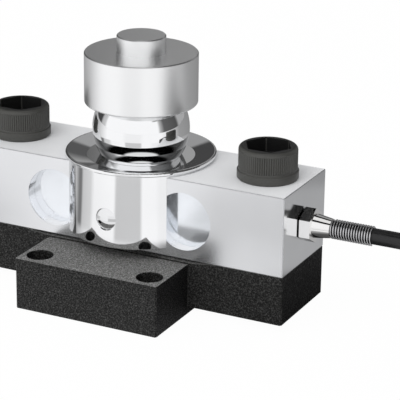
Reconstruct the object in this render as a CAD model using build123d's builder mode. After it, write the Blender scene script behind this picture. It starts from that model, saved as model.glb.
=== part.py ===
from build123d import *
import math
import os

# Double ended beam load cell, millimetres.
# X runs along the beam towards the cable, Y to the back, Z up.
# The origin is on the foundation plane, under the axis of the ball.

# Beam: the elastic element, on a base bar of the same length and depth. Its ends stand
# clear of the bolts by beam_end, measured from each bolt's axis.
beam_end = 21.0
beam_depth = 51.5
beam_height = 42.5
beam_edge = 0.4

# Base: the bar that carries the beam, crossed by a wider bolting foot.
base_top = 30.0
bar_lift = 4.0
foot_length = 82.0
foot_reach = 121.0
foot_drop = 2.5
foot_hole_dia = 14.0
foot_hole_side = 9.0
foot_hole_end = 10.0
relief_length = 114.0
relief_ramp = 12.0
relief_depth = 1.6
base_edge = 0.8

# Mounting bolts with low knurled heads, one at each end of the beam.
bolt_pitch = 146.0
bolt_dia = 20.0
bolt_clearance = 0.75
thread_clearance = 0.05
bolt_engagement = 22.0
bolt_tip_gap = 2.0
head_dia = 30.4
head_height = 12.2
head_round = 2.2
socket_flats = 22.0
socket_depth = 7.5
knurl_teeth = 80
knurl_depth = 0.36
knurl_margin = 0.8
washer_dia = 31.7
washer_bore_clearance = 0.4
washer_thick = 5.0
washer_split = 1.6
washer_edge = 0.6

# Gauge pockets: a recess in each face, closed by a welded cover over a cavity.
pocket_pitch = 76.0
pocket_height = 20.3
pocket_dia = 31.0
pocket_depth = 6.3
cover_thick = 1.5
cover_fit = 0.05
cavity_dia = 27.0
cavity_depth = 7.5
gauge_length = 12.0
gauge_width = 8.0
gauge_thick = 0.25
board_length = 18.0
board_width = 8.0
board_thick = 1.2
board_standoff = 1.2
board_drop = 5.5
standoff_dia = 2.4

# Wiring galleries drilled through the beam, closed by flush plugs.
gallery_dia = 4.4
gallery_rise = 4.15
web_hole_offset = 10.0
gallery_plug_dia = 5.4
gallery_plug_length = 4.0
wire_dia = 3.2
wire_bend = 2.4

# Loading sleeve: a dished plate on the beam with a cheek down each side.
sleeve_dia = 77.0
sleeve_foot_gap = 3.7
sleeve_round = 0.6
lip_dia = 79.2
lip_height = 3.0
lip_thick = 2.2
lip_round = 0.8
dish_rim_flat = 0.3
cheek_clearance = 0.05
pin_dia = 11.4
pin_spigot_dia = 8.0
pin_spigot_depth = 6.0
pin_height = 19.0
pin_dome = 1.4
pin_fit = 0.05
pin_countersink = 0.4

# Ball, its hardened seat and the loading cap above it.
ball_dia = 50.8
ball_sink = 10.2
seat_collar_dia = 45.0
seat_collar_depth = 6.0
seat_spigot_dia = 36.0
seat_spigot_depth = 8.0
seat_flange_dia = 56.6
seat_flange_thick = 0.6
seat_fit = 0.05
ball_fit = 0.05
cap_dia = 59.2
cap_height = 27.0
cap_over_centre = 13.8
cap_edge = 0.5
cap_lower_round = 1.2
boss_dia = 25.6
boss_height = 9.0
ring_section = 2.6
ring_angle = 40.0

# Cable gland: body in the beam, hexagon nut with a tapered nose, seal and spring.
gland_height = 21.0
gland_thread_dia = 10.0
gland_thread_length = 6.0
gland_hole_depth = 14.0
gland_neck_dia = 8.8
gland_neck_length = 0.6
gland_inner_length = 5.0
gland_wire_bore = 4.4
nut_flats = 16.0
nut_hex_length = 5.8
nut_nose_dia = 12.7
nut_tip_dia = 9.9
nut_nose_length = 9.2
seal_length = 3.2
spring_wire = 0.8
spring_pitch = 1.42
spring_length = 22.7

# Cable: a lead-in, a round coil of its stored length and a short tail with bare leads.
cable_dia = 8.4
cable_fit = 0.1
coil_reach = 156.0
coil_side = -13.6
coil_columns = 4
coil_layers = 3
coil_first_radius = 45.6
coil_pitch = 8.6
layer_pitch = 8.45
join_angle = 112.0
join_run = 22.0
cross_angle = -45.0
tail_angle = 80.0
tail_length = 40.0
ring_overlap = 2.5
tie_thick = 1.2
tie_width = 8.0
tie_gap = 0.2
boot_length = 14.0
boot_wall = 0.5
boot_end = 4.0
core_dia = 1.5
core_circle = 2.4
core_length = 22.0
core_count = 5

# Lead-in points between the gland and the coil: reach past the beam's end, side offset and
# the share of the fall from the gland to the coil's top layer that is still left.
lead_points = ((34.0, 0.0, 1.0), (63.0, 0.3, 1.0), (83.0, 5.5, 0.75), (99.0, 17.0, 0.35))

beam_bottom = base_top
beam_top = beam_bottom + beam_height
half_depth = beam_depth / 2
beam_length = bolt_pitch + 2 * beam_end
half_length = beam_length / 2
foot_top = base_top - foot_drop
gland_z = beam_bottom + gland_height
pocket_z = beam_bottom + pocket_height
pin_z = beam_bottom + pin_height
cover_floor = half_depth - pocket_depth - cover_thick
web_half = cover_floor - cavity_depth
gallery_y = web_half + gallery_rise
ball_radius = ball_dia / 2
ball_z = beam_top - ball_sink + ball_radius
cross_x = half_length - gland_hole_depth + gallery_dia
gland_end = half_length + gland_neck_length + gland_inner_length
nut_start = half_length + gland_neck_length
hex_end = nut_start + nut_hex_length
nose_end = hex_end + nut_nose_length
faces = {"front": -1, "back": 1}
sides = {"left": -1, "right": 1}

os.makedirs("parts", exist_ok=True)


def save(part, name):
    """Labels a finished piece and writes it under its node name."""
    part.label = name
    export_step(part, f"parts/{name}.step")


def facing(sign, x, y, z):
    """Plane at a point whose normal points out of the front (-1) or back (+1) face."""
    return Plane(origin=(x, y * sign, z), x_dir=(1, 0, 0), z_dir=(0, sign, 0))


def along_x(x, y, z):
    """Plane at a point whose normal runs along +X."""
    return Plane(origin=(x, y, z), x_dir=(0, 1, 0), z_dir=(1, 0, 0))


# Base
with BuildPart() as base_plate:
    with BuildSketch(Plane.XY.offset(bar_lift)):
        bar_outline = Rectangle(beam_length, beam_depth)
        chamfer(bar_outline.vertices(), base_edge)
    extrude(amount=base_top - bar_lift)
    with BuildSketch(Plane.XY):
        foot_outline = Rectangle(foot_length, foot_reach)
        chamfer(foot_outline.vertices(), base_edge)
    extrude(amount=foot_top)
    with BuildSketch(Plane.XZ.offset(-beam_depth)):
        with BuildLine():
            Polyline(
                (-relief_length / 2, base_top),
                (-relief_length / 2 + relief_ramp, base_top - relief_depth),
                (relief_length / 2 - relief_ramp, base_top - relief_depth),
                (relief_length / 2, base_top),
                close=True,
            )
        make_face()
    extrude(amount=2 * beam_depth, mode=Mode.SUBTRACT)
    with Locations(Plane.XY.offset(foot_top)):
        with GridLocations(foot_length - 2 * foot_hole_side, foot_reach - 2 * foot_hole_end, 2, 2):
            Hole(foot_hole_dia / 2)
    with Locations(Plane.XY.offset(base_top)):
        with GridLocations(bolt_pitch, 0, 2, 1):
            Hole(bolt_dia / 2 + thread_clearance, depth=bolt_engagement + bolt_tip_gap)
save(base_plate.part, "base_plate")

# Beam with its bolt bores, gauge pockets, seat bore and wiring galleries
with BuildPart() as beam_body:
    with BuildSketch(Plane.XY.offset(beam_bottom)):
        Rectangle(beam_length, beam_depth)
    extrude(amount=beam_height)
    chamfer(beam_body.edges(), beam_edge)
    with Locations(Plane.XY.offset(beam_top)):
        with GridLocations(bolt_pitch, 0, 2, 1):
            Hole(bolt_dia / 2 + bolt_clearance, depth=beam_height)
        CounterBoreHole(
            radius=seat_spigot_dia / 2 + seat_fit,
            counter_bore_radius=seat_collar_dia / 2 + seat_fit,
            counter_bore_depth=seat_collar_depth,
            depth=seat_collar_depth + seat_spigot_depth,
        )
    for sign in faces.values():
        for side in sides.values():
            with BuildSketch(facing(sign, side * pocket_pitch / 2, half_depth, pocket_z)):
                Circle(pocket_dia / 2)
            extrude(amount=-(pocket_depth + cover_thick), mode=Mode.SUBTRACT)
            with BuildSketch(facing(sign, side * pocket_pitch / 2, cover_floor, pocket_z)):
                Circle(cavity_dia / 2)
            extrude(amount=-cavity_depth, mode=Mode.SUBTRACT)
        with BuildSketch(facing(sign, 0, half_depth, pin_z)):
            Circle(pin_spigot_dia / 2 + pin_fit)
        extrude(amount=-pin_spigot_depth, mode=Mode.SUBTRACT)
    for side in sides.values():
        with BuildSketch(facing(1, side * pocket_pitch / 2 + web_hole_offset, 0, pocket_z)):
            Circle(gallery_dia / 2)
        extrude(amount=web_half, both=True, mode=Mode.SUBTRACT)
    with BuildSketch(along_x(-pocket_pitch / 2, gallery_y, gland_z)):
        Circle(gallery_dia / 2)
    extrude(amount=half_length + pocket_pitch / 2, mode=Mode.SUBTRACT)
    with BuildSketch(along_x(half_length - gland_hole_depth, 0, gland_z)):
        Circle(gland_thread_dia / 2 + thread_clearance)
    extrude(amount=gland_hole_depth, mode=Mode.SUBTRACT)
    with BuildSketch(facing(1, cross_x, 0, gland_z)):
        Circle(gallery_dia / 2)
    extrude(amount=half_depth, mode=Mode.SUBTRACT)
    with BuildSketch(along_x(half_length - gallery_plug_length, gallery_y, gland_z)):
        Circle(gallery_plug_dia / 2)
    extrude(amount=gallery_plug_length, mode=Mode.SUBTRACT)
    with BuildSketch(facing(1, cross_x, half_depth, gland_z)):
        Circle(gallery_plug_dia / 2)
    extrude(amount=-gallery_plug_length, mode=Mode.SUBTRACT)
save(beam_body.part, "beam_body")

# Flush plugs that close the drilled galleries
with BuildPart() as gallery_end_plug:
    with BuildSketch(along_x(half_length - gallery_plug_length, gallery_y, gland_z)):
        Circle(gallery_plug_dia / 2 - cover_fit)
    extrude(amount=gallery_plug_length)
save(gallery_end_plug.part, "gallery_end_plug")

with BuildPart() as gallery_side_plug:
    with BuildSketch(facing(1, cross_x, half_depth, gland_z)):
        Circle(gallery_plug_dia / 2 - cover_fit)
    extrude(amount=-gallery_plug_length)
save(gallery_side_plug.part, "gallery_side_plug")

# Welded covers and the strain gauges behind them
for face, sign in faces.items():
    for side, direction in sides.items():
        with BuildPart() as pocket_cover:
            with BuildSketch(facing(sign, direction * pocket_pitch / 2, cover_floor, pocket_z)):
                Circle(pocket_dia / 2 - cover_fit)
            extrude(amount=cover_thick)
        save(pocket_cover.part, f"pocket_cover_{face}_{side}")

        with BuildPart() as strain_gauge:
            with BuildSketch(facing(sign, direction * pocket_pitch / 2, web_half, pocket_z)):
                Rectangle(gauge_length, gauge_width, rotation=45)
            extrude(amount=gauge_thick)
        save(strain_gauge.part, f"strain_gauge_{face}_{side}")

# Trimming board on two standoffs in the back right cavity
board_z = pocket_z - board_drop
with BuildPart() as trimming_board:
    with BuildSketch(facing(1, pocket_pitch / 2, web_half + board_standoff, board_z)):
        Rectangle(board_length, board_width)
    extrude(amount=board_thick)
    with BuildSketch(facing(1, pocket_pitch / 2, web_half, board_z - standoff_dia / 2)):
        with GridLocations(board_length - standoff_dia, 0, 2, 1):
            Circle(standoff_dia / 2)
    extrude(amount=board_standoff)
save(trimming_board.part, "trimming_board")

# Wires from the gland to the back right cavity, and from there to the back left one
with BuildPart() as bridge_wiring:
    with BuildLine() as trunk_path:
        FilletPolyline(
            (gland_end, 0, gland_z),
            (cross_x, 0, gland_z),
            (cross_x, gallery_y, gland_z),
            (pocket_pitch / 2, gallery_y, gland_z),
            radius=wire_bend,
        )
    with BuildSketch(along_x(gland_end, 0, gland_z)):
        Circle(wire_dia / 2)
    sweep(path=trunk_path.wires()[0])
    with BuildSketch(along_x(-pocket_pitch / 2, gallery_y, gland_z)):
        Circle(wire_dia / 2)
    extrude(amount=pocket_pitch - wire_dia)
save(bridge_wiring.part, "bridge_wiring")

# Loading sleeve
lip_top = beam_top + lip_height
sleeve_bottom = base_top + sleeve_foot_gap
with BuildPart() as loading_sleeve:
    with BuildSketch(Plane.XY.offset(sleeve_bottom)):
        Circle(sleeve_dia / 2)
    extrude(amount=lip_top - lip_thick - sleeve_bottom)
    fillet(loading_sleeve.edges().group_by(Axis.Z)[0], sleeve_round)
    with BuildSketch(Plane.XY.offset(lip_top - lip_thick)):
        Circle(lip_dia / 2)
    extrude(amount=lip_thick)
    lip_edges = loading_sleeve.edges().filter_by(GeomType.CIRCLE).sort_by(SortBy.RADIUS)[-2:]
    fillet(lip_edges, lip_round)
    with BuildSketch(Plane.XZ):
        with BuildLine():
            dish_floor = beam_top + seat_flange_thick
            Polyline(
                (0, lip_top),
                (0, dish_floor),
                (seat_flange_dia / 2, dish_floor),
                (lip_dia / 2 - lip_round - dish_rim_flat, lip_top),
                close=True,
            )
        make_face()
    revolve(axis=Axis.Z, mode=Mode.SUBTRACT)
    with BuildSketch(Plane.XY.offset(sleeve_bottom)):
        Rectangle(lip_dia, beam_depth + 2 * cheek_clearance)
    extrude(amount=beam_top - sleeve_bottom, mode=Mode.SUBTRACT)
    with BuildSketch(Plane.XY.offset(beam_top)):
        Circle(seat_flange_dia / 2 + seat_fit)
    extrude(amount=lip_height, mode=Mode.SUBTRACT)
    for sign in faces.values():
        with Locations(facing(sign, 0, sleeve_dia / 2, pin_z)):
            CounterSinkHole(
                radius=pin_dia / 2 + pin_fit,
                counter_sink_radius=pin_dia / 2 + pin_fit + pin_countersink,
                depth=(sleeve_dia - beam_depth) / 2,
                counter_sink_angle=90,
            )
save(loading_sleeve.part, "loading_sleeve")

# Domed locking pins through the cheeks
for face, sign in faces.items():
    with BuildPart() as locking_pin:
        with BuildSketch(facing(sign, 0, half_depth - pin_spigot_depth, pin_z)):
            Circle(pin_spigot_dia / 2)
        extrude(amount=pin_spigot_depth)
        with BuildSketch(facing(sign, 0, half_depth, pin_z)):
            Circle(pin_dia / 2)
        extrude(amount=(sleeve_dia - beam_depth - pin_dome) / 2)
        with BuildSketch(Plane(origin=(0, 0, pin_z), x_dir=(1, 0, 0), z_dir=(0, 0, sign))):
            with BuildLine():
                rim = (sleeve_dia - pin_dome) / 2
                Polyline((pin_dia / 2, rim), (0, rim), (0, rim + pin_dome))
                TangentArc((0, rim + pin_dome), (pin_dia / 2, rim), tangent=(1, 0))
            make_face()
        revolve(axis=Axis((0, 0, pin_z), (0, 1, 0)))
    save(locking_pin.part, f"{face}_locking_pin")

# Ball and its seat
with BuildPart() as ball_seat:
    with BuildSketch(Plane.XY.offset(beam_top - seat_collar_depth - seat_spigot_depth)):
        Circle(seat_spigot_dia / 2)
    extrude(amount=seat_spigot_depth)
    with BuildSketch(Plane.XY.offset(beam_top - seat_collar_depth)):
        Circle(seat_collar_dia / 2)
    extrude(amount=seat_collar_depth)
    with BuildSketch(Plane.XY.offset(beam_top)):
        Circle(seat_flange_dia / 2)
    extrude(amount=seat_flange_thick)
    with Locations((0, 0, ball_z)):
        Sphere(ball_radius + ball_fit, mode=Mode.SUBTRACT)
save(ball_seat.part, "ball_seat")

with BuildPart() as steel_ball:
    with Locations((0, 0, ball_z)):
        Sphere(ball_radius)
save(steel_ball.part, "steel_ball")

# Loading cap with its boss, and the rubber ring that keeps the ball in it
cap_bottom = ball_z + cap_over_centre
cap_top = cap_bottom + cap_height
ring_radius = ring_section / 2
ring_path_radius = (ball_radius + ring_radius) * math.cos(math.radians(ring_angle))
ring_z = ball_z + (ball_radius + ring_radius) * math.sin(math.radians(ring_angle))
with BuildPart() as loading_cap:
    with BuildSketch(Plane.XY.offset(cap_bottom)):
        Circle(cap_dia / 2)
    extrude(amount=cap_height)
    fillet(loading_cap.edges().group_by(Axis.Z)[0], cap_lower_round)
    chamfer(loading_cap.edges().group_by(Axis.Z)[-1], cap_edge)
    with BuildSketch(Plane.XY.offset(cap_top)):
        Circle(boss_dia / 2)
    extrude(amount=boss_height)
    chamfer(loading_cap.edges().group_by(Axis.Z)[-1], cap_edge)
    with Locations((0, 0, ball_z)):
        Sphere(ball_radius + ball_fit, mode=Mode.SUBTRACT)
    with Locations((0, 0, ring_z)):
        Torus(ring_path_radius, ring_radius + ball_fit, mode=Mode.SUBTRACT)
save(loading_cap.part, "loading_cap")

with BuildPart() as ball_retaining_ring:
    with Locations((0, 0, ring_z)):
        Torus(ring_path_radius, ring_radius)
save(ball_retaining_ring.part, "ball_retaining_ring")

# Mounting bolts and their split lock washers
head_bottom = beam_top + washer_thick
head_top = head_bottom + head_height
for side, direction in sides.items():
    bolt_x = direction * bolt_pitch / 2
    with BuildPart() as mounting_bolt:
        with BuildSketch(Plane.XY.offset(head_bottom)):
            with Locations((bolt_x, 0)):
                Circle(head_dia / 2)
        extrude(amount=head_height)
        fillet(mounting_bolt.edges().group_by(Axis.Z)[-1], head_round)
        with BuildSketch(Plane.XY.offset(head_bottom + knurl_margin)):
            with Locations((bolt_x, 0)):
                with PolarLocations(head_dia / 2, knurl_teeth):
                    RegularPolygon(knurl_depth, 4)
        extrude(amount=head_height - knurl_margin - head_round, mode=Mode.SUBTRACT)
        with BuildSketch(Plane.XY.offset(head_top)):
            with Locations((bolt_x, 0)):
                RegularPolygon(socket_flats / 2, 6, major_radius=False)
        extrude(amount=-socket_depth, mode=Mode.SUBTRACT)
        with BuildSketch(Plane.XY.offset(head_bottom)):
            with Locations((bolt_x, 0)):
                Circle(bolt_dia / 2)
        extrude(amount=-(washer_thick + beam_height + bolt_engagement))
    save(mounting_bolt.part, f"{side}_mounting_bolt")

    with BuildPart() as lock_washer:
        with BuildSketch(Plane.XY.offset(beam_top)):
            with Locations((bolt_x, 0)):
                Circle(washer_dia / 2)
                Circle(bolt_dia / 2 + washer_bore_clearance, mode=Mode.SUBTRACT)
        extrude(amount=washer_thick)
        rims = lock_washer.edges().filter_by(GeomType.CIRCLE).sort_by(SortBy.RADIUS)[-2:]
        chamfer(rims, washer_edge)
        with BuildSketch(Plane.XZ.offset(-washer_dia)):
            with BuildLine():
                Polyline(
                    (bolt_x - washer_split, beam_top),
                    (bolt_x, beam_top),
                    (bolt_x + washer_split, beam_top + washer_thick),
                    (bolt_x, beam_top + washer_thick),
                    close=True,
                )
            make_face()
        extrude(amount=washer_dia, mode=Mode.SUBTRACT)
    save(lock_washer.part, f"{side}_lock_washer")

# Cable gland
with BuildPart() as gland_body:
    with BuildSketch(along_x(half_length - gland_thread_length, 0, gland_z)):
        Circle(gland_thread_dia / 2)
    extrude(amount=gland_thread_length)
    with BuildSketch(along_x(half_length, 0, gland_z)):
        Circle(gland_neck_dia / 2)
    extrude(amount=gland_neck_length)
    with BuildSketch(along_x(nut_start, 0, gland_z)):
        Circle(gland_thread_dia / 2)
    extrude(amount=gland_inner_length)
    with BuildSketch(along_x(half_length - gland_thread_length, 0, gland_z)):
        Circle(gland_wire_bore / 2)
    extrude(amount=gland_end - half_length + gland_thread_length, mode=Mode.SUBTRACT)
save(gland_body.part, "gland_body")

seal_dia = gland_thread_dia + 2 * thread_clearance
with BuildPart() as gland_nut:
    with BuildSketch(along_x(nut_start, 0, gland_z)):
        RegularPolygon(nut_flats / 2, 6, major_radius=False, rotation=30)
    extrude(amount=nut_hex_length)
    with BuildSketch(along_x(hex_end, 0, gland_z)):
        Circle(nut_nose_dia / 2)
    with BuildSketch(along_x(nose_end, 0, gland_z)):
        Circle(nut_tip_dia / 2)
    loft()
    with BuildSketch(along_x(nut_start, 0, gland_z)):
        Circle(seal_dia / 2)
    extrude(amount=gland_inner_length + seal_length, mode=Mode.SUBTRACT)
    with BuildSketch(along_x(nut_start, 0, gland_z)):
        Circle(cable_dia / 2 + cable_fit)
    extrude(amount=nose_end - nut_start, mode=Mode.SUBTRACT)
save(gland_nut.part, "gland_nut")

with BuildPart() as gland_seal:
    with BuildSketch(along_x(gland_end, 0, gland_z)):
        Circle(seal_dia / 2)
        Circle(cable_dia / 2 + cable_fit, mode=Mode.SUBTRACT)
    extrude(amount=seal_length)
save(gland_seal.part, "gland_seal")

spring_radius = cable_dia / 2 + cable_fit + spring_wire / 2
with BuildPart() as strain_relief_spring:
    with BuildLine() as spring_path:
        Helix(
            pitch=spring_pitch,
            height=spring_length - spring_wire,
            radius=spring_radius,
            center=(nose_end + spring_wire / 2, 0, gland_z),
            direction=(1, 0, 0),
        )
    with BuildSketch(Plane(origin=spring_path.line @ 0, z_dir=spring_path.line % 0)):
        Circle(spring_wire / 2)
    sweep(path=spring_path.line, is_frenet=True)
save(strain_relief_spring.part, "strain_relief_spring")

# Cable lead-in, as straight runs joined by the largest arcs that they allow
coil_x = half_length + coil_reach
coil_z = tie_thick + tie_gap + cable_dia / 2
top_layer_z = coil_z + coil_layers * layer_pitch
join_radius = coil_first_radius + coil_pitch
join = Vector(
    coil_x + join_radius * math.cos(math.radians(join_angle)),
    coil_side + join_radius * math.sin(math.radians(join_angle)),
    top_layer_z,
)
join_heading = Vector(math.sin(math.radians(join_angle)), -math.cos(math.radians(join_angle)), 0)
lead_route = [Vector(gland_end, 0, gland_z)]
for reach, offset_y, share in lead_points:
    fall_left = share * (gland_z - top_layer_z)
    lead_route.append(Vector(half_length + reach, offset_y, top_layer_z + fall_left))
lead_route += [join - join_heading * join_run, join]


def bend_radii(points):
    """Largest smooth radius at each inner point: 0.45 of the shorter run over tan(half the turn)."""
    radii = []
    for before, corner, after in zip(points, points[1:], points[2:]):
        run_in, run_out = corner - before, after - corner
        half_turn = math.radians(run_in.get_angle(run_out)) / 2
        radii.append(0.45 * min(run_in.length, run_out.length) / math.tan(half_turn))
    return radii


lead_radii = bend_radii(lead_route)
print("lead-in bend radii:", [round(radius, 1) for radius in lead_radii])
with BuildPart() as signal_cable:
    with BuildLine() as cable_path:
        FilletPolyline(*lead_route, radius=lead_radii)
    with BuildSketch(along_x(gland_end, 0, gland_z)):
        Circle(cable_dia / 2)
    sweep(path=cable_path.wires()[0])
save(signal_cable.part, "signal_cable")

# Coil: full layers, one ring of the top layer, the arc that the lead-in joins and, in the
# bottom layer, the space that the tail has left
coil_bottom = coil_z - cable_dia / 2
coil_layer_top = coil_bottom + (coil_layers - 1) * layer_pitch + cable_dia
coil_top = top_layer_z + cable_dia / 2
coil_inner = coil_first_radius - cable_dia / 2
coil_outer = coil_first_radius + (coil_columns - 1) * coil_pitch + cable_dia / 2
first_ring_outer = coil_first_radius + cable_dia / 2
second_ring_outer = first_ring_outer + coil_pitch
tail_radius = coil_first_radius + (coil_columns - 1) * coil_pitch
tail_z_limit = coil_z + layer_pitch - cable_dia / 2
coil_axis = Axis((coil_x, coil_side, 0), (0, 0, 1))


def radial_plane(angle):
    """Upright plane through the coil's axis, x outwards at the angle and y up."""
    turn = math.radians(angle)
    return Plane(
        origin=(coil_x, coil_side, 0),
        x_dir=(math.cos(turn), math.sin(turn), 0),
        z_dir=(math.sin(turn), -math.cos(turn), 0),
    )


with BuildPart() as cable_coil:
    with BuildSketch(radial_plane(0)):
        Polygon(
            (coil_inner, coil_bottom),
            (coil_outer, coil_bottom),
            (coil_outer, coil_layer_top),
            (first_ring_outer, coil_layer_top),
            (first_ring_outer, coil_top),
            (coil_inner, coil_top),
            align=None,
        )
    revolve(axis=coil_axis)
    with BuildSketch(radial_plane(join_angle)):
        Polygon(
            (first_ring_outer - ring_overlap, coil_layer_top - ring_overlap),
            (second_ring_outer, coil_layer_top - ring_overlap),
            (second_ring_outer, coil_top),
            (first_ring_outer - ring_overlap, coil_top),
            align=None,
        )
    revolve(axis=coil_axis, revolution_arc=cross_angle - join_angle)
    with BuildSketch(radial_plane(tail_angle)):
        Polygon(
            (tail_radius - cable_dia / 2 - cable_fit, 0),
            (coil_outer + coil_pitch, 0),
            (coil_outer + coil_pitch, tail_z_limit),
            (tail_radius - cable_dia / 2 - cable_fit, tail_z_limit),
            align=None,
        )
    revolve(axis=coil_axis, revolution_arc=cross_angle - tail_angle, mode=Mode.SUBTRACT)
save(cable_coil.part, "cable_coil")

# Tail, its end boot and the bare leads
tail_turn = math.radians(tail_angle)
tail_start = Vector(
    coil_x + tail_radius * math.cos(tail_turn), coil_side + tail_radius * math.sin(tail_turn), coil_z
)
tail_heading = Vector(math.sin(tail_turn), -math.cos(tail_turn), 0)


def along_tail(distance):
    """Plane across the tail at a distance from its start."""
    return Plane(origin=tail_start + tail_heading * distance, z_dir=tail_heading)


with BuildPart() as cable_tail:
    with BuildSketch(along_tail(0)):
        Circle(cable_dia / 2)
    extrude(amount=tail_length)
save(cable_tail.part, "cable_tail")

with BuildPart() as end_boot:
    with BuildSketch(along_tail(tail_length + boot_end - boot_length)):
        Circle(cable_dia / 2 + cable_fit + boot_wall)
    extrude(amount=boot_length)
    with BuildSketch(along_tail(tail_length + boot_end - boot_length)):
        Circle(cable_dia / 2 + cable_fit)
    extrude(amount=boot_length - boot_end, mode=Mode.SUBTRACT)
    with BuildSketch(along_tail(tail_length)):
        with PolarLocations(core_circle, core_count):
            Circle(core_dia / 2 + cable_fit)
    extrude(amount=boot_end, mode=Mode.SUBTRACT)
save(end_boot.part, "end_boot")

with BuildPart() as cable_leads:
    with BuildSketch(along_tail(tail_length)):
        with PolarLocations(core_circle, core_count):
            Circle(core_dia / 2)
    extrude(amount=core_length)
save(cable_leads.part, "cable_leads")

# Ties around the coil: one where both rings of the top layer lie over the tail's space, two
# where only the first ring lies on top
tail_corner = ((tail_radius - cable_dia / 2, coil_bottom), (coil_outer, tail_z_limit))
full_corner = ((coil_outer, coil_bottom),)
ties = (
    (30.0, tail_corner, second_ring_outer),
    (165.0, full_corner, first_ring_outer),
    (255.0, full_corner, first_ring_outer),
)
with BuildPart() as coil_ties:
    for angle, corner, ring_outer in ties:
        with BuildSketch(radial_plane(angle)):
            section = Polygon(
                (coil_inner, coil_bottom),
                *corner,
                (coil_outer, coil_layer_top),
                (ring_outer, coil_top),
                (coil_inner, coil_top),
                align=None,
                mode=Mode.PRIVATE,
            )
            offset(section, amount=tie_gap + tie_thick, mode=Mode.ADD)
            offset(section, amount=tie_gap, mode=Mode.SUBTRACT)
        extrude(amount=tie_width / 2, both=True)
save(coil_ties.part, "coil_ties")
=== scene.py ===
"""Visual model of a double ended beam load cell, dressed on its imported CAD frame."""

import logging
import math
from dataclasses import dataclass, field
from enum import Enum

import bpy
from mathutils import Matrix, Vector


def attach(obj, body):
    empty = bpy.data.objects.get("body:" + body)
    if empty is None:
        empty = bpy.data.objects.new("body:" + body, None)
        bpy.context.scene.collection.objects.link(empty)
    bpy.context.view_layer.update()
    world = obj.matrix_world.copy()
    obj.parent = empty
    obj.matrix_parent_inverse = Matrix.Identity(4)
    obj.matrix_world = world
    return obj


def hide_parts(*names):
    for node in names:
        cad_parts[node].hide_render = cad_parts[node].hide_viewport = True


logging.basicConfig(level=logging.INFO, format="%(message)s")
LOG = logging.getLogger("load_cell")

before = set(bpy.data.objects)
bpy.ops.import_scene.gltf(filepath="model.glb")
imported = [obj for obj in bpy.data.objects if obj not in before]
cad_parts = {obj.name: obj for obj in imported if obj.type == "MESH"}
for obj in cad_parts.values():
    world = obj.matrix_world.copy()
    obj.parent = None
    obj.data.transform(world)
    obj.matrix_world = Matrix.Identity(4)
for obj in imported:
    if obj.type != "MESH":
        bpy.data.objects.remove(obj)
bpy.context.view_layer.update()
NODES: dict[str, bpy.types.Object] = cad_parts

MM = 0.001
BODY = "root"

Socket = bpy.types.NodeSocket
Triple = tuple[float, float, float]
Span = tuple[float, float]
Levels = tuple[tuple[float, float], ...]

WHITE: Triple = (1.0, 1.0, 1.0)
WHOLE: Span = (0.0, 1.0)
FULL_TURN: Span = (-math.pi, math.pi)
EDGE_MATCH: Span = (0.8, 0.98)
PATCH_SCALE = 60.0


class Grain(Enum):
    """Direction of the fine marks that a machining step leaves on metal."""

    ALONG_Z = "along_z"
    TURNED_Z = "turned_z"
    TURNED_X = "turned_x"
    CAST = "cast"


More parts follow.
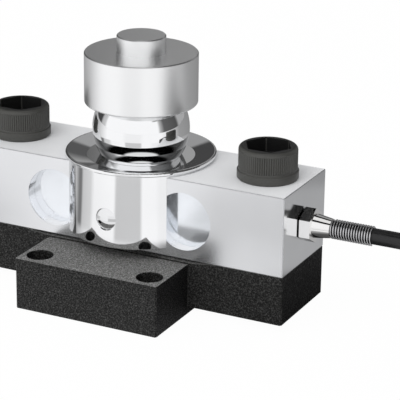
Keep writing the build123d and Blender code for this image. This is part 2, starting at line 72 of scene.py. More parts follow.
class Graph:
    """Node tree of a material or of the world, with short ways to add and join its nodes."""

    def __init__(self, owner: bpy.types.Material | bpy.types.World) -> None:
        """Takes over the owner's node tree and empties it.

        Args:
            owner: Material or world that the nodes belong to.
        """
        owner.use_nodes = True
        self.tree = owner.node_tree
        self.tree.nodes.clear()

    def add(self, kind: str, **settings: object) -> bpy.types.Node:
        """Adds one node and sets its properties.

        Args:
            kind: Blender's identifier of the node type.
            **settings: Properties of the node by name.

        Returns:
            The new node.
        """
        node = self.tree.nodes.new(kind)
        for key, value in settings.items():
            setattr(node, key, value)
        return node

    def link(self, source: Socket, target: Socket) -> None:
        """Links an output socket to an input socket."""
        self.tree.links.new(source, target)

    def feed(self, value: Socket | float | Triple, target: Socket) -> None:
        """Links an input socket to a value's socket, or sets it to a constant.

        Args:
            value: Socket that gives the value, or a number, vector or colour.
            target: Input socket that gets it.
        """
        if isinstance(value, bpy.types.NodeSocket):
            self.link(value, target)
        elif target.type == "RGBA":
            target.default_value = (*value, 1.0)
        else:
            target.default_value = value

    def math(self, operation: str, *values: Socket | float) -> Socket:
        """Works out a number.

        Args:
            operation: Blender's name of the operation.
            *values: Its inputs, in order.

        Returns:
            The result.
        """
        node = self.add("ShaderNodeMath", operation=operation)
        for value, target in zip(values, node.inputs):
            self.feed(value, target)
        return node.outputs["Value"]

    def vector(self, operation: str, *values: Socket | Triple) -> Socket:
        """Works out a vector, or a number from vectors.

        Args:
            operation: Blender's name of the operation.
            *values: Its inputs, in order.

        Returns:
            The result.
        """
        node = self.add("ShaderNodeVectorMath", operation=operation)
        for value, target in zip(values, node.inputs):
            self.feed(value, target)
        return node.outputs["Value" if operation in ("LENGTH", "DOT_PRODUCT") else "Vector"]

    def axes(self, vector: Socket) -> tuple[Socket, Socket, Socket]:
        """Splits a vector.

        Args:
            vector: Socket that gives it.

        Returns:
            Its X, Y and Z.
        """
        split = self.add("ShaderNodeSeparateXYZ")
        self.link(vector, split.inputs[0])
        return split.outputs["X"], split.outputs["Y"], split.outputs["Z"]

    def spread(
        self, value: Socket, low: float, high: float, cut: Span = (0.3, 0.7), shape: str = "LINEAR"
    ) -> Socket:
        """Maps a field to a range of numbers.

        Args:
            value: Field to map.
            low: Result where the field is at the lower cut.
            high: Result where the field is at the upper cut.
            cut: Lower and upper value of the field.
            shape: Blender's name of the way from one to the other.

        Returns:
            The mapped value.
        """
        mapped = self.add("ShaderNodeMapRange", interpolation_type=shape)
        mapped.inputs["From Min"].default_value = cut[0]
        mapped.inputs["From Max"].default_value = cut[1]
        mapped.inputs["To Min"].default_value = low
        mapped.inputs["To Max"].default_value = high
        self.link(value, mapped.inputs["Value"])
        return mapped.outputs["Result"]

    def step(self, value: Socket, cut: Span) -> Socket:
        """Turns a number into a soft step that starts and ends at the cut."""
        return self.spread(value, *WHOLE, cut, "SMOOTHSTEP")

    def blend(self, share: Socket, first: Socket | Triple, second: Socket | Triple) -> Socket:
        """Mixes two colours by a field.

        Args:
            share: Share of the second colour.
            first: First colour, or a socket that gives it.
            second: Second colour, or a socket that gives it.

        Returns:
            The mixed colour.
        """
        mix = self.add("ShaderNodeMix", data_type="RGBA")
        self.link(share, mix.inputs["Factor"])
        self.feed(first, mix.inputs["A"])
        self.feed(second, mix.inputs["B"])
        return mix.outputs["Result"]

    def settle(self, share: Socket, first: Socket, second: float) -> Socket:
        """Mixes a number into a field.

        Args:
            share: Share of the number.
            first: Field that it is mixed into.
            second: The number.

        Returns:
            The mixed field.
        """
        mix = self.add("ShaderNodeMix", data_type="FLOAT")
        self.link(share, mix.inputs["Factor"])
        self.link(first, mix.inputs["A"])
        mix.inputs["B"].default_value = second
        return mix.outputs["Result"]

    def ramp(
        self, share: Socket, stops: list[tuple[float, Triple]], shape: str = "LINEAR"
    ) -> Socket:
        """Reads a colour from a ramp.

        Args:
            share: Place on the ramp, from 0 to 1.
            stops: Places and their colours, in rising order.
            shape: Blender's name of the way from one stop to the next.

        Returns:
            The colour there.
        """
        node = self.add("ShaderNodeValToRGB")
        node.color_ramp.interpolation = shape
        elements = node.color_ramp.elements
        ready = len(elements)
        for index, (where, colour) in enumerate(stops):
            stop = elements[index] if index < ready else elements.new(where)
            stop.position = where
            stop.color = (*colour, 1.0)
        self.link(share, node.inputs["Fac"])
        return node.outputs["Color"]

    def glow(self, kind: str, colour: Socket | Triple, strength: float = 1.0) -> Socket:
        """Makes a shader that gives off light.

        Args:
            kind: Blender's identifier of the node type.
            colour: Colour of the light, or a socket that gives it.
            strength: Factor on the colour.

        Returns:
            The shader.
        """
        node = self.add(kind)
        self.feed(colour, node.inputs["Color"])
        node.inputs["Strength"].default_value = strength
        return node.outputs[0]

    def join(self, share: Socket | float, first: Socket, second: Socket) -> Socket:
        """Mixes two shaders.

        Args:
            share: Share of the second shader.
            first: First shader.
            second: Second shader.

        Returns:
            The mixed shader.
        """
        mix = self.add("ShaderNodeMixShader")
        for value, target in zip((share, first, second), mix.inputs):
            self.feed(value, target)
        return mix.outputs[0]


class SurfaceGraph(Graph):
    """Node tree of one surface material around a single Principled shader."""

    def __init__(self, name: str) -> None:
        """Starts a material that holds only its output and Principled shader.

        Args:
            name: Name of the new material.
        """
        self.material = bpy.data.materials.new(name)
        super().__init__(self.material)
        output = self.add("ShaderNodeOutputMaterial")
        self.shader = self.add("ShaderNodeBsdfPrincipled")
        self.link(self.shader.outputs["BSDF"], output.inputs["Surface"])
        self.place = self.add("ShaderNodeTexCoord").outputs["Object"]

    def give(self, name: str, value: Socket | float) -> None:
        """Feeds one input of the Principled shader."""
        self.feed(value, self.shader.inputs[name])

    def noise(self, stretch: Triple | float, detail: float, warp: float = 0.0) -> Socket:
        """Makes a noise field over stretched object coordinates.

        Args:
            stretch: Cycles per metre along X, Y and Z, or one number for all three.
            detail: Number of finer octaves.
            warp: How far the field is distorted.

        Returns:
            The noise value, around 0.5.
        """
        mapping = self.add("ShaderNodeMapping")
        mapping.inputs["Scale"].default_value = (
            stretch if isinstance(stretch, tuple) else (stretch, stretch, stretch)
        )
        self.link(self.place, mapping.inputs["Vector"])
        texture = self.add("ShaderNodeTexNoise")
        texture.inputs["Scale"].default_value = 1.0
        texture.inputs["Detail"].default_value = detail
        texture.inputs["Distortion"].default_value = warp
        self.link(mapping.outputs["Vector"], texture.inputs["Vector"])
        return texture.outputs["Fac"]

    def bump(self, height: Socket, depth: float, strength: float = 1.0) -> None:
        """Adds a relief over the ones before it.

        Args:
            height: Field of heights.
            depth: Height of the relief, in metres.
            strength: Share of the relief that shows.
        """
        node = self.add("ShaderNodeBump")
        node.inputs["Distance"].default_value = depth
        node.inputs["Strength"].default_value = strength
        self.link(height, node.inputs["Height"])
        before = self.shader.inputs["Normal"]
        if before.links:
            self.link(before.links[0].from_socket, node.inputs["Normal"])
        self.link(node.outputs["Normal"], before)

    def normal(self) -> Socket:
        """Gives the true normal of the surface."""
        return self.add("ShaderNodeNewGeometry").outputs["Normal"]

    def worn_edges(self, radius: float, wear: Span) -> Socket:
        """Finds the sharp edges, where a rounded normal departs from the true one.

        Args:
            radius: Width of the worn band, in metres.
            wear: Least and greatest wear of an edge, which changes in patches.

        Returns:
            A field from 0 on flats to the wear on edges.
        """
        bevel = self.add("ShaderNodeBevel", samples=4)
        bevel.inputs["Radius"].default_value = radius
        match = self.vector("DOT_PRODUCT", bevel.outputs["Normal"], self.normal())
        edges = self.spread(match, 1.0, 0.0, EDGE_MATCH)
        patches = self.spread(self.noise(PATCH_SCALE, detail=3.0), *wear)
        return self.math("MULTIPLY", edges, patches)


@dataclass(frozen=True)
class MetalFinish:
    """A bare or plated metal surface with machining grain and faint stains."""

    name: str
    colour: Triple
    roughness: float
    grain: Grain
    grain_depth: float = 0.0
    roughness_spread: float = 0.03
    least_roughness: float = 0.02
    stain: float = 0.04
    stain_share: float = 2.5
    grain_pitch: float = 0.00035
    along_grain: float = 12.0
    ring_marks: float = 6.0
    ring_warp: float = 1.2
    cloud_scale: float = 38.0
    cloud_depth: float = 0.00003
    cloud_strength: float = 0.2
    metal: float = 1.0

    def grain_field(self, graph: SurfaceGraph) -> Socket:
        """Builds the field of machining marks.

        Args:
            graph: Material that the marks belong to.

        Returns:
            Heights of the marks, around 0.5.
        """
        fine = 1.0 / self.grain_pitch
        if self.grain is Grain.ALONG_Z:
            return graph.noise((fine, fine, self.along_grain), detail=3.0)
        if self.grain is Grain.CAST:
            return graph.noise(fine, detail=6.0)
        rings = graph.add("ShaderNodeTexWave", wave_type="RINGS")
        rings.rings_direction = "Z" if self.grain is Grain.TURNED_Z else "X"
        rings.inputs["Scale"].default_value = fine / self.ring_marks
        rings.inputs["Distortion"].default_value = self.ring_warp
        rings.inputs["Detail"].default_value = 2.0
        graph.link(graph.place, rings.inputs["Vector"])
        return rings.outputs["Fac"]

    def build(self) -> bpy.types.Material:
        """Makes the material.

        Returns:
            The finished material.
        """
        graph = SurfaceGraph(self.name)
        graph.give("Metallic", self.metal)
        marks = self.grain_field(graph)
        clouds = graph.noise(self.cloud_scale, detail=3.0)
        darker = tuple(channel * (1.0 - self.stain_share * self.stain) for channel in self.colour)
        graph.give("Base Color", graph.blend(graph.spread(clouds, *WHOLE), self.colour, darker))
        low = max(self.least_roughness, self.roughness - self.roughness_spread)
        graph.give("Roughness", graph.spread(marks, low, self.roughness + self.roughness_spread))
        if self.grain_depth:
            graph.bump(marks, self.grain_depth)
        graph.bump(clouds, self.cloud_depth, self.cloud_strength)
        return graph.material


@dataclass(frozen=True)
class BeamSteel:
    """Ground beam steel: satin top, finer front, and near-mirror ends and pocket walls."""

    name: str = "ground_beam_steel"
    colour: Triple = (0.85, 0.858, 0.873)
    bright: Triple = (0.9, 0.905, 0.92)
    dull_share: float = 0.94
    top_metal: float = 0.1
    edge_roughness: float = 0.6
    edge_spread: float = 0.03
    front_roughness: float = 0.26
    top_roughness: float = 0.45
    end_roughness: float = 0.12
    wall_roughness: float = 0.07
    box_centre: Triple = (0.0, 0.0, 0.05125)
    box_half: Triple = (0.0934, 0.0251, 0.0206)
    box_cut: Span = (0.998, 1.0)
    square_on: Span = (0.85, 0.97)
    mark_scale: Triple = (25.0, 2600.0, 2600.0)
    mark_depth: float = 0.0000003
    cloud_scale: float = 30.0

    def inside(self, graph: SurfaceGraph) -> Socket:
        """Marks what lies below the outer faces, such as the walls of the round pockets.

        Args:
            graph: Material that gets the nodes.

        Returns:
            1 inside the beam, 0 on its outer faces.
        """
        offset = graph.vector("SUBTRACT", graph.place, self.box_centre)
        share = graph.vector("ABSOLUTE", graph.vector("DIVIDE", offset, self.box_half))
        along, across, upward = graph.axes(share)
        widest = graph.math("MAXIMUM", graph.math("MAXIMUM", along, across), upward)
        return graph.spread(widest, 1.0, 0.0, self.box_cut)

    def build(self) -> bpy.types.Material:
        """Makes the material.

        Returns:
            The finished material.
        """
        graph = SurfaceGraph(self.name)
        marks = graph.noise(self.mark_scale, detail=2.0)
        clouds = graph.noise(self.cloud_scale, detail=3.0)
        walls = self.inside(graph)
        dull = tuple(channel * self.dull_share for channel in self.colour)
        tone = graph.blend(graph.spread(clouds, *WHOLE), self.colour, dull)
        graph.give("Base Color", graph.blend(walls, tone, self.bright))
        ends, fronts, tops = (
            graph.spread(graph.math("ABSOLUTE", part), *WHOLE, self.square_on)
            for part in graph.axes(graph.normal())
        )
        graph.give("Metallic", graph.spread(tops, 1.0, self.top_metal, WHOLE))
        low, high = self.edge_roughness - self.edge_spread, self.edge_roughness + self.edge_spread
        satin = graph.spread(marks, low, high)
        for share, roughness in (
            (fronts, self.front_roughness),
            (tops, self.top_roughness),
            (ends, self.end_roughness),
            (walls, self.wall_roughness),
        ):
            satin = graph.settle(share, satin, roughness)
        graph.give("Roughness", satin)
        graph.bump(marks, self.mark_depth)
        return graph.material


@dataclass(frozen=True)
class CrinkleCoat:
    """Black crinkle paint: its crests glint, and their colour carries a painted glint; a painted sheen
    makes it paler on top, and painted shade with less gloss makes it darker and duller at the ends.
    """

    name: str = "base_crinkle_black"
    valley: Triple = (0.006, 0.006, 0.0057)
    crest_glint: Triple = (0.05, 0.05, 0.048)
    # Painted glint: colour of the wrinkle crests, lighter than the valleys.
    painted_sheen: Triple = (0.4, 0.4, 0.393)
    # Painted sheen on the faces that look up, palest on the crests.
    painted_end_shade: Triple = (0.006, 0.006, 0.006)
    # Painted shade on the faces that look along X, at the ends.
    worn: Triple = (0.12, 0.12, 0.115)
    wrinkle_pitch: float = 0.00072
    wrinkle_warp: float = 0.7
    wrinkle_depth: float = 0.0003
    crest_cut: Span = (0.46, 0.68)
    square_on: Span = (0.8, 0.98)
    # Share of the painted sheen in the valleys of the wrinkles.
    valley_sheen: float = 0.25
    end_shade_share: float = 0.85
    side_gloss: float = 0.45
    gloss: Span = (0.2, 0.7)
    roughness: Span = (0.6, 0.36)
    edge: float = 0.0004
    wear: Span = (0.0, 0.5)

    def build(self) -> bpy.types.Material:
        """Makes the material.

        Returns:
            The finished material.
        """
        graph = SurfaceGraph(self.name)
        folds = graph.noise(1.0 / self.wrinkle_pitch, detail=3.0, warp=self.wrinkle_warp)
        crests = graph.spread(folds, *WHOLE, self.crest_cut)
        along, _, upward = graph.axes(graph.normal())
        ends = graph.spread(graph.math("ABSOLUTE", along), 0.0, self.end_shade_share, self.square_on)
        tops = graph.spread(upward, *WHOLE, self.square_on)
        sheen_share = graph.math("MULTIPLY", tops, graph.spread(crests, self.valley_sheen, 1.0, WHOLE))
        # Painted glint: the wrinkle crests are painted lighter than the valleys.
        ground = graph.blend(crests, self.valley, self.crest_glint)
        # Painted shade: the end faces are painted darker.
        ground = graph.blend(ends, ground, self.painted_end_shade)
        # Painted sheen: the top faces are painted paler, more on the crests than in the valleys.
        ground = graph.blend(sheen_share, ground, self.painted_sheen)
        ground = graph.blend(graph.worn_edges(self.edge, self.wear), ground, self.worn)
        graph.give("Base Color", ground)
        graph.give("Roughness", graph.spread(crests, *self.roughness, WHOLE))
        dulled = graph.spread(ends, 1.0, self.side_gloss, WHOLE)
        gloss = graph.math("MULTIPLY", graph.spread(crests, *self.gloss, WHOLE), dulled)
        graph.give("Specular IOR Level", gloss)
        graph.bump(crests, self.wrinkle_depth)
        return graph.material


@dataclass(frozen=True)
class BlackedSteel:
    """Black oxide on machined steel: faintly speckled, with painted shade on top and inside its hexagon
    sockets, and worn on its edges.
    """

    name: str = "bolt_black_oxide"
    colour: Triple = (0.05, 0.05, 0.046)
    # Painted shade on the faces that look up.
    top_shade: Triple = (0.018, 0.018, 0.017)
    worn: Triple = (0.13, 0.13, 0.125)
    paler_share: float = 1.3
    metal: float = 0.2
    roughness: Span = (0.36, 0.5)
    speck_pitch: float = 0.0007
    speck_depth: float = 0.00001
    square_on: Span = (0.8, 0.98)
    edge: float = 0.0004
    wear: Span = (0.15, 0.7)
    bolt_reach: float = 0.073
    socket_radius: float = 0.0124
    socket_rim: float = 0.0003
    # Painted shade colour of the socket insides.
    socket_shade: Triple = (0.008, 0.008, 0.008)

    def in_socket(self, graph: SurfaceGraph) -> Socket:
        """Marks the inside of the hexagon sockets, which gets painted shade.

        Args:
            graph: Material that gets the nodes.

        Returns:
            1 within the socket's radius of either bolt's axis, 0 outside it.
        """
        along, across, _ = graph.axes(graph.place)
        flat = graph.add("ShaderNodeCombineXYZ")
        offset = graph.math("SUBTRACT", graph.math("ABSOLUTE", along), self.bolt_reach)
        graph.link(offset, flat.inputs["X"])
        graph.link(across, flat.inputs["Y"])
        reach = graph.vector("LENGTH", flat.outputs["Vector"])
        return graph.spread(reach, 1.0, 0.0, (self.socket_radius, self.socket_radius + self.socket_rim))

    def build(self) -> bpy.types.Material:
        """Makes the material.

        Returns:
            The finished material.
        """
        graph = SurfaceGraph(self.name)
        graph.give("Metallic", self.metal)
        grit = graph.noise(1.0 / self.speck_pitch, detail=4.0)
        paler = tuple(channel * self.paler_share for channel in self.colour)
        _, _, upward = graph.axes(graph.normal())
        ground = graph.blend(graph.spread(grit, *WHOLE), self.colour, paler)
        # Painted shade: the faces that look up are painted darker.
        ground = graph.blend(graph.spread(upward, *WHOLE, self.square_on), ground, self.top_shade)
        # Painted shade inside the hexagon sockets.
        ground = graph.blend(self.in_socket(graph), ground, self.socket_shade)
        ground = graph.blend(graph.worn_edges(self.edge, self.wear), ground, self.worn)
        graph.give("Base Color", ground)
        graph.give("Roughness", graph.spread(grit, *self.roughness))
        graph.bump(grit, self.speck_depth)
        return graph.material


@dataclass(frozen=True)
class LeadInsulation:
    """Coloured insulation of the five leads, stripped to tinned strands at their ends."""

    name: str = "lead_insulation_colours"
    middle: Triple = (0.30179, 0.04977, 0.0056)
    heading: float = -10.0
    strip_from: float = 0.0165
    strip_width: float = 0.0001
    strand: Triple = (0.8, 0.78, 0.74)
    colours: tuple[Triple, ...] = (
        (0.62, 0.02, 0.02), (0.02, 0.02, 0.02), (0.03, 0.3, 0.07), (0.78, 0.78, 0.76), (0.75, 0.58, 0.03),
    )
    roughness: Span = (0.32, 0.42)
    skin_scale: float = 900.0
    skin_depth: float = 0.00001

    def build(self) -> bpy.types.Material:
        """Makes the material.

        Returns:
            The finished material.
        """
        graph = SurfaceGraph(self.name)
        mapping = graph.add("ShaderNodeMapping", vector_type="TEXTURE")
        mapping.inputs["Location"].default_value = self.middle
        mapping.inputs["Rotation"].default_value = (0.0, 0.0, math.radians(self.heading))
        graph.link(graph.place, mapping.inputs["Vector"])
        along, across, upward = graph.axes(mapping.outputs["Vector"])
        around = graph.spread(graph.math("ARCTAN2", upward, across), *WHOLE, FULL_TURN)
        count = len(self.colours)
        stops = [(index / count, colour) for index, colour in enumerate(self.colours)]
        bare = graph.spread(along, *WHOLE, (self.strip_from, self.strip_from + self.strip_width))
        insulation = graph.ramp(around, stops, "CONSTANT")
        graph.give("Base Color", graph.blend(bare, insulation, self.strand))
        graph.give("Metallic", bare)
        skin = graph.noise(self.skin_scale, detail=2.0)
        graph.give("Roughness", graph.spread(skin, *self.roughness))
        graph.bump(skin, self.skin_depth)
        return graph.material


@dataclass(frozen=True)
class Plastic:
    """Moulded or extruded plastic or rubber with a fine skin and faint scuffs."""

    name: str
    colour: Triple
    roughness: float
    skin_pitch: float = 0.0008
    skin_depth: float = 0.00002
    smoother: float = 0.05
    rougher: float = 0.1
    scuff_scale: float = 90.0
    scuff_cut: Span = (0.45, 0.8)
    scuff_share: float = 0.7
    scuff_gain: float = 1.35
    scuff_lift: float = 0.004

    def build(self) -> bpy.types.Material:
        """Makes the material.

        Returns:
            The finished material.
        """
        graph = SurfaceGraph(self.name)
        skin = graph.noise(1.0 / self.skin_pitch, detail=4.0)
        scuffs = graph.noise(self.scuff_scale, detail=4.0)
        lighter = tuple(
            min(1.0, channel * self.scuff_gain + self.scuff_lift) for channel in self.colour
        )
        marked = graph.spread(scuffs, 0.0, self.scuff_share, self.scuff_cut)
        graph.give("Base Color", graph.blend(marked, self.colour, lighter))
        low, high = self.roughness - self.smoother, self.roughness + self.rougher
        graph.give("Roughness", graph.spread(scuffs, low, high))
        graph.bump(skin, self.skin_depth)
        return graph.material


Finish = MetalFinish | BeamSteel | CrinkleCoat | BlackedSteel | LeadInsulation | Plastic

GROUND_BEAM = BeamSteel()
SLEEVE_CHROME = MetalFinish(
    "sleeve_chrome", (0.93, 0.935, 0.94), 0.05, Grain.ALONG_Z, roughness_spread=0.015, stain=0.015
)
BALL_CHROME = MetalFinish(
    "ball_mirror", (0.94, 0.945, 0.95), 0.04, Grain.CAST, roughness_spread=0.01, stain=0.01
)
CAP_STEEL = MetalFinish(
    "cap_satin_steel", (0.96, 0.965, 0.965), 0.34, Grain.TURNED_Z,
    grain_depth=0.0000008, roughness_spread=0.02, stain=0.01,
)
PIN_STEEL = MetalFinish(
    "pin_bright_steel", (0.9, 0.905, 0.91), 0.05, Grain.CAST, grain_depth=0.000002
)
COVER_STEEL = MetalFinish(
    "cover_mirror_steel", (0.93, 0.96, 1.0), 0.12, Grain.CAST,
    grain_depth=0.000002, roughness_spread=0.02, metal=0.78,
)
GLAND_NICKEL = MetalFinish(
    "gland_nickel_plate", (0.9, 0.895, 0.885), 0.07, Grain.TURNED_X,
    grain_depth=0.000001, roughness_spread=0.02, stain=0.01,
)
SPRING_STEEL = MetalFinish(
    "spring_wire_steel", (0.66, 0.66, 0.67), 0.25, Grain.CAST,
    grain_depth=0.000002, roughness_spread=0.05,
)
BASE_BLACK = CrinkleCoat()
BOLT_BLACK = BlackedSteel()
CABLE_SHEATH = Plastic(
    "cable_sheath", (0.004, 0.004, 0.0045), 0.3, skin_pitch=0.0011, skin_depth=0.000008
)
RUBBER = Plastic("ring_rubber", (0.018, 0.018, 0.018), 0.6)
BOOT_SHRINK = Plastic(
    "boot_shrink_sleeve", (0.02, 0.02, 0.021), 0.5, skin_pitch=0.0016, skin_depth=0.00003
)
TIE_NYLON = Plastic("tie_nylon", (0.03, 0.03, 0.032), 0.45)
GAUGE_FILM = Plastic("gauge_film", (0.62, 0.36, 0.12), 0.4)
BOARD_GREEN = Plastic("board_laminate", (0.03, 0.17, 0.08), 0.45)
LEAD_COLOURS = LeadInsulation()
WIRE_SLEEVE = Plastic("wire_sleeve", (0.55, 0.55, 0.57), 0.45)


@dataclass
class FinishRack:
    """Builds each finish once and puts it on the pieces."""

    made: dict[str, bpy.types.Material] = field(default_factory=dict)

    def material(self, finish: Finish) -> bpy.types.Material:
        """Gives the material of a finish, built at its first use.

        Args:
            finish: Finish that is wanted.

        Returns:
            Its material.
        """
        if finish.name not in self.made:
            self.made[finish.name] = finish.build()
        return self.made[finish.name]

    def dress(self, piece: bpy.types.Object, finish: Finish) -> None:
        """Puts a finish on a piece in place of what it had.

        Args:
            piece: CAD node or new piece.
            finish: Finish that it gets.
        """
        piece.data.materials.clear()
        piece.data.materials.append(self.material(finish))
        LOG.info("dressed %s with %s", piece.name, finish.name)

    def dress_nodes(self, finish: Finish, *names: str) -> None:
        """Puts one finish on several CAD nodes."""
        for name in names:
            self.dress(NODES[name], finish)


@dataclass
class StudioCamera:
    """Camera that stands where the photograph was taken from."""

    place: Triple = (0.475424, -0.889467, 0.418454)
    azimuth: float = 26.355
    pitch: float = -20.201
    roll: float = 0.781
    sensor: float = 36.0
    focal_share: float = 5.08983
    clip: Span = (0.01, 50.0)

    def build(self) -> bpy.types.Object:
        """Makes the camera and gives it to the scene.

        Returns:
            The camera object.
        """
        turn, tilt, lean = (math.radians(angle) for angle in (self.azimuth, self.pitch, self.roll))
        forward = Vector(
            (-math.sin(turn) * math.cos(tilt), math.cos(turn) * math.cos(tilt), math.sin(tilt))
        )
        level = Vector((math.cos(turn), math.sin(turn), 0.0))
        upward = level.cross(forward)
        right = level * math.cos(lean) + upward * math.sin(lean)
        up = upward * math.cos(lean) - level * math.sin(lean)
        data = bpy.data.cameras.new("photo_camera")
        data.sensor_width = self.sensor
        data.lens = self.sensor * self.focal_share
        data.clip_start, data.clip_end = self.clip
        camera = bpy.data.objects.new("photo_camera", data)
        basis = Matrix((right, up, -forward)).transposed()
        camera.matrix_world = Matrix.Translation(self.place) @ basis.to_4x4()
        bpy.context.scene.collection.objects.link(camera)
        bpy.context.scene.camera = camera
        return camera


@dataclass
class Studio:
    """Pale sweep, a ring of soft walls that the metal mirrors, and one lamp.

    Each ring of levels pairs a direction, in degrees from the camera's side, with a brightness.
    A rise is the sine of an elevation, and a reach a distance from the origin in metres: each has
    the value where a zone starts and the one from which it is whole.
    """

    facing: float = 26.355
    coolness: float = 1.01
    walls: Levels = (
        (-180.0, 0.06), (-110.0, 0.06), (-104.0, 0.5), (-94.0, 0.6), (-88.0, 1.0), (42.0, 1.0),
        (48.0, 0.45), (58.0, 0.12), (96.0, 0.08), (104.0, 0.4), (138.0, 0.4), (148.0, 0.08),
        (180.0, 0.1),
    )
    upper_walls: Levels = (
        (-180.0, 0.4), (-135.0, 0.06), (-92.0, 0.3), (-70.0, 1.0), (28.0, 1.0), (36.0, 0.25),
        (100.0, 0.06), (135.0, 0.06), (180.0, 0.4),
    )
    upper_rise: Span = (0.42, 0.47)
    ceiling: float = 0.0
    ceiling_rise: Span = (0.77, 0.83)
    overhead: float = 0.85
    overhead_rise: Span = (0.935, 0.955)
    gap_behind: Levels = (
        (-180.0, 1.0), (-178.5, 1.0), (-176.0, 0.0), (176.0, 0.0), (178.5, 1.0), (180.0, 1.0),
    )
    gap_rise: Span = (0.05, 0.1)
    back_glow: float = 0.34
    plain_light: float = 0.8
    close_floor: Levels = (
        (-180.0, 0.1), (-110.0, 0.3), (-80.0, 0.9), (0.0, 0.9), (20.0, 0.5), (45.0, 0.06), (180.0, 0.06),
    )
    mid_floor: Levels = (
        (-180.0, 0.14), (-124.0, 0.6), (-110.0, 0.5), (-101.0, 0.15), (-96.0, 0.15), (-92.0, 0.58),
        (-76.0, 0.68), (-70.0, 0.95), (-37.0, 1.0), (-33.0, 0.6), (0.0, 0.6), (4.0, 1.0), (22.0, 1.0),
        (28.0, 0.93), (56.0, 0.9), (70.0, 0.44), (130.0, 0.36), (180.0, 0.2),
    )
    far_floor: Levels = (
        (-180.0, 0.2), (-116.0, 0.5), (-82.0, 1.0), (-42.0, 1.0), (-32.0, 0.92), (-2.0, 0.92), (8.0, 1.0),
        (48.0, 1.0), (72.0, 0.65), (100.0, 0.3), (180.0, 0.2),
    )
    mid_reach: Span = (0.125, 0.14)
    far_reach: Span = (0.24, 0.26)
    floor_half: float = 9.0
    floor_drop: float = 0.0002
    paper: Triple = (0.86, 0.86, 0.86)
    seen_share: float = 0.975
    mirrored_share: float = 0.95
    key_place: Triple = (-0.35, -1.5, 1.75)
    key_aim: Triple = (0.0, 0.0, 0.05)
    key_size: float = 1.6
    key_power: float = 24.0

    def ring(self, graph: Graph, place: Socket, levels: Levels) -> Socket:
        """Gives the brightness of the studio by the direction from the object.

        Args:
            graph: Node tree that gets the nodes.
            place: A direction, or a place around the origin.
            levels: Pairs of direction and brightness.

        Returns:
            The colour there.
        """
        along, across, _ = graph.axes(place)
        angle = graph.math("ARCTAN2", along, graph.math("MULTIPLY", across, -1.0))
        turned = graph.math("SUBTRACT", angle, math.radians(self.facing))
        wrapped = graph.math("WRAP", turned, math.pi, -math.pi)
        stops = [
            ((direction + 180.0) / 360.0, (level, level, level * self.coolness))
            for direction, level in levels
        ]
        return graph.ramp(graph.spread(wrapped, *WHOLE, FULL_TURN), stops)

    def build_world(self) -> None:
        """Makes the surroundings: white to the camera, soft walls to the metal."""
        world = bpy.data.worlds.new("studio_world")
        bpy.context.scene.world = world
        graph = Graph(world)
        place = graph.add("ShaderNodeTexCoord").outputs["Generated"]
        _, _, rise = graph.axes(place)
        behind = graph.math(
            "MULTIPLY", self.ring(graph, place, self.gap_behind), graph.step(rise, self.gap_rise)
        )
        sky = self.ring(graph, place, self.walls)
        for share, colour in (
            (behind, (self.back_glow, self.back_glow, self.back_glow)),
            (graph.step(rise, self.upper_rise), self.ring(graph, place, self.upper_walls)),
            (graph.step(rise, self.ceiling_rise), (self.ceiling, self.ceiling, self.ceiling)),
            (graph.step(rise, self.overhead_rise), (self.overhead, self.overhead, self.overhead)),
        ):
            sky = graph.blend(share, sky, colour)
        surroundings, plain, white = (
            graph.glow("ShaderNodeBackground", colour, strength)
            for colour, strength in ((sky, 1.0), (WHITE, self.plain_light), (WHITE, 1.0))
        )
        rays = graph.add("ShaderNodeLightPath").outputs
        lit = graph.join(rays["Is Diffuse Ray"], surroundings, plain)
        output = graph.add("ShaderNodeOutputWorld")
        graph.link(graph.join(rays["Is Camera Ray"], lit, white), output.inputs["Surface"])

    def build_paper(self) -> bpy.types.Material:
        """Makes the floor's paper: almost white to the camera, three zones to the metal.

        Returns:
            The finished material.
        """
        material = bpy.data.materials.new("studio_paper")
        graph = Graph(material)
        place = graph.add("ShaderNodeNewGeometry").outputs["Position"]
        diffuse = graph.add("ShaderNodeBsdfDiffuse")
        graph.feed(self.paper, diffuse.inputs["Color"])
        paper = diffuse.outputs[0]
        reach = graph.vector("LENGTH", place)
        close, middle, far = (
            self.ring(graph, place, levels)
            for levels in (self.close_floor, self.mid_floor, self.far_floor)
        )
        near = graph.blend(graph.step(reach, self.mid_reach), close, middle)
        zones = graph.blend(graph.step(reach, self.far_reach), near, far)
        seen = graph.join(self.seen_share, paper, graph.glow("ShaderNodeEmission", WHITE))
        mirrored = graph.join(self.mirrored_share, paper, graph.glow("ShaderNodeEmission", zones))
        rays = graph.add("ShaderNodeLightPath").outputs
        to_camera = graph.join(rays["Is Camera Ray"], paper, seen)
        output = graph.add("ShaderNodeOutputMaterial")
        graph.link(graph.join(rays["Is Glossy Ray"], to_camera, mirrored), output.inputs["Surface"])
        return material

    def build_floor(self) -> None:
        """Makes the pale floor, which keeps the object's shadow."""
        half = self.floor_half
        mesh = bpy.data.meshes.new("studio_floor")
        corners = [(-half, -half, 0.0), (half, -half, 0.0), (half, half, 0.0), (-half, half, 0.0)]
        mesh.from_pydata(corners, [], [(0, 1, 2, 3)])
        mesh.materials.append(self.build_paper())
        floor = bpy.data.objects.new("studio_floor", mesh)
        floor.location.z = -self.floor_drop
        bpy.context.scene.collection.objects.link(floor)

    def build_lamp(self) -> None:
        """Makes the square soft lamp that points at the object."""
        data = bpy.data.lights.new("key_lamp", "AREA")
        data.size = self.key_size
        data.energy = self.key_power
        lamp = bpy.data.objects.new("key_lamp", data)
        lamp.location = self.key_place
        lamp.rotation_mode = "QUATERNION"
        towards = Vector(self.key_aim) - lamp.location
        lamp.rotation_quaternion = towards.to_track_quat("-Z", "Y")
        lamp.visible_glossy = False
        bpy.context.scene.collection.objects.link(lamp)

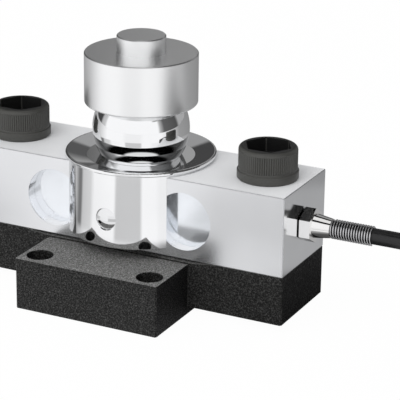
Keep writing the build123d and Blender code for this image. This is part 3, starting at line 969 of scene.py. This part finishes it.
    def build(self) -> None:
        """Builds the world, the floor and the lamp."""
        self.build_world()
        self.build_floor()
        self.build_lamp()
        bpy.context.scene.view_settings.view_transform = "Standard"


@dataclass
class BaseAndBeam:
    """Foundation base, the beam on it and what closes the beam's holes."""

    finishes: FinishRack

    def build(self) -> None:
        """Dresses the base, the beam, its covers and its plugs."""
        self.finishes.dress_nodes(BASE_BLACK, "base_plate")
        self.finishes.dress_nodes(GROUND_BEAM, "beam_body", "gallery_end_plug", "gallery_side_plug")
        for face in ("front", "back"):
            for side in ("left", "right"):
                self.finishes.dress_nodes(COVER_STEEL, f"pocket_cover_{face}_{side}")
                self.finishes.dress_nodes(GAUGE_FILM, f"strain_gauge_{face}_{side}")
        self.finishes.dress_nodes(BOARD_GREEN, "trimming_board")
        self.finishes.dress_nodes(WIRE_SLEEVE, "bridge_wiring")


@dataclass
class LoadIntroduction:
    """Sleeve with its pins, seat, ball, retaining ring and loading cap."""

    finishes: FinishRack

    def build(self) -> None:
        """Dresses the pieces that carry the load into the beam."""
        self.finishes.dress_nodes(SLEEVE_CHROME, "loading_sleeve", "ball_seat")
        self.finishes.dress_nodes(PIN_STEEL, "front_locking_pin", "back_locking_pin")
        self.finishes.dress_nodes(BALL_CHROME, "steel_ball")
        self.finishes.dress_nodes(CAP_STEEL, "loading_cap")
        self.finishes.dress_nodes(RUBBER, "ball_retaining_ring")


@dataclass
class BoltSet:
    """The two mounting bolts and their lock washers."""

    finishes: FinishRack

    def build(self) -> None:
        """Dresses bolts and washers."""
        for side in ("left", "right"):
            self.finishes.dress_nodes(BOLT_BLACK, f"{side}_mounting_bolt", f"{side}_lock_washer")


@dataclass
class CableGland:
    """Gland body, nut, seal and the spring that guards the cable."""

    finishes: FinishRack

    def build(self) -> None:
        """Dresses the gland and its spring."""
        self.finishes.dress_nodes(GLAND_NICKEL, "gland_body", "gland_nut")
        self.finishes.dress_nodes(RUBBER, "gland_seal")
        self.finishes.dress_nodes(SPRING_STEEL, "strain_relief_spring")


@dataclass
class SignalCable:
    """Shielded cable: lead-in, stored coil and tail as one smooth line, sizes in millimetres.

    Each of the rings is one turn of the coil, by its column outwards and its layer upwards.
    """

    finishes: FinishRack
    slot: str = "cable_jacket"
    diameter: float = 8.4
    exit_x: float = 109.6
    gland_z: float = 51.0
    lead_in: tuple[Triple, ...] = (
        (99.6, 0.0, 51.0),
        (128.0, 0.0, 51.0),
        (157.0, 0.3, 51.0),
        (177.0, 5.5, 45.9875),
        (193.0, 17.0, 37.9675),
        (209.298, 28.412, 30.95),
    )
    centre: tuple[float, float] = (250.0, -13.6)
    first_radius: float = 45.6
    column_pitch: float = 8.6
    first_height: float = 5.6
    layer_pitch: float = 8.45
    rings: tuple[tuple[int, int], ...] = (
        (1, 3), (0, 3), (0, 2), (1, 2), (2, 2), (3, 2), (3, 1), (2, 1), (1, 1), (0, 1), (0, 0), (1, 0),
        (2, 0), (3, 0),
    )
    join_angle: float = 112.0
    cross_angle: float = -45.0
    cross_width: float = 120.0
    bulge: float = 3.9
    tail_angle: float = 80.0
    tail_start: float = 16.0
    tail_length: float = 40.0
    step: float = 15.0
    smoothness: int = 5

    def ring_place(self, angle: float) -> tuple[float, float]:
        """Gives radius and height of the coil's line at an angle.

        Args:
            angle: Angle in degrees, which falls from the join on along the cable.

        Returns:
            Radius and height of the line there.
        """
        crossings = (self.cross_angle - angle) / 360.0 + 0.5
        index = min(max(math.floor(crossings), 0), len(self.rings) - 2)
        along = (crossings - index - 0.5) * 360.0 / self.cross_width + 0.5
        along = min(max(along, 0.0), 1.0)
        smooth = along * along * (3.0 - 2.0 * along)
        column, layer = self.rings[index]
        next_column, next_layer = self.rings[index + 1]
        radius = self.first_radius + self.column_pitch * (column + (next_column - column) * smooth)
        height = self.first_height + self.layer_pitch * (layer + (next_layer - layer) * smooth)
        if next_layer != layer:
            outward = 1.0 if column > 1 else -1.0
            radius += outward * self.bulge * math.sin(math.pi * along)
        return radius, height

    def around(self, angle: float, radius: float, height: float) -> Triple:
        """Gives the point at an angle, in radians, and a radius from the coil's axis."""
        x, y = self.centre
        return x + radius * math.cos(angle), y + radius * math.sin(angle), height

    def coil_points(self) -> list[Triple]:
        """Gives the control points of the wound length.

        Returns:
            Control points from the join to the start of the tail.
        """
        grow = 1.0 / math.cos(math.radians(self.step / 2.0))
        last = self.tail_angle - 360.0 * (len(self.rings) - 1)
        points = []
        angle = self.join_angle - self.step / 2.0
        while angle > last + self.step / 3.0:
            radius, height = self.ring_place(angle)
            points.append(self.around(math.radians(angle), radius * grow, height))
            angle -= self.step
        return points

    def tail_points(self) -> list[Triple]:
        """Gives the last control points, on the straight tail.

        Returns:
            Two points on the tail's axis.
        """
        turn = math.radians(self.tail_angle)
        radius = self.first_radius + self.rings[-1][0] * self.column_pitch
        start = Vector(self.around(turn, radius, self.first_height))
        heading = Vector((math.sin(turn), -math.cos(turn), 0.0))
        return [tuple(start + heading * reach) for reach in (self.tail_start, self.tail_length)]

    def line_length(self, curve: bpy.types.Object) -> float:
        """Measures a curve along its middle.

        Args:
            curve: Curve object with no thickness yet.

        Returns:
            Its length in metres.
        """
        mesh = bpy.data.meshes.new_from_object(curve)
        total = 0.0
        for edge in mesh.edges:
            first, second = (mesh.vertices[index].co for index in edge.vertices)
            total += (first - second).length
        bpy.data.meshes.remove(mesh)
        return total

    def build(self) -> None:
        points = [*self.lead_in, *self.coil_points(), *self.tail_points()]
        data = bpy.data.curves.new("signal_cable_line", "CURVE")
        data.dimensions = "3D"
        spline = data.splines.new("NURBS")
        spline.points.add(len(points) - 1)
        for control, point in zip(spline.points, points):
            control.co = (*(Vector(point) * MM), 1.0)
        spline.order_u = 3
        spline.use_endpoint_u = True
        spline.resolution_u = self.smoothness
        cable = bpy.data.objects.new("signal_cable_line", data)
        bpy.context.scene.collection.objects.link(cable)
        bpy.context.view_layer.update()
        length = self.line_length(cable)
        data.bevel_depth = self.diameter / 2.0 * MM
        data.bevel_resolution = self.smoothness
        data.use_fill_caps = True
        self.finishes.dress(cable, CABLE_SHEATH)
        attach(cable, BODY)
        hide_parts("signal_cable", "cable_coil", "cable_tail")
        LOG.info("cable of %.2f m laid through %d points", length, len(points))
        self.finishes.dress_nodes(BOOT_SHRINK, "end_boot")
        self.finishes.dress_nodes(TIE_NYLON, "coil_ties")
        self.finishes.dress_nodes(LEAD_COLOURS, "cable_leads")


def main() -> None:
    """Builds the studio and dresses every sub-assembly in order."""
    finishes = FinishRack()
    StudioCamera().build()
    Studio().build()
    for assembly in (
        BaseAndBeam(finishes),
        LoadIntroduction(finishes),
        BoltSet(finishes),
        CableGland(finishes),
        SignalCable(finishes),
    ):
        assembly.build()
        LOG.info("built %s", type(assembly).__name__)


if __name__ == "__main__":
    main()
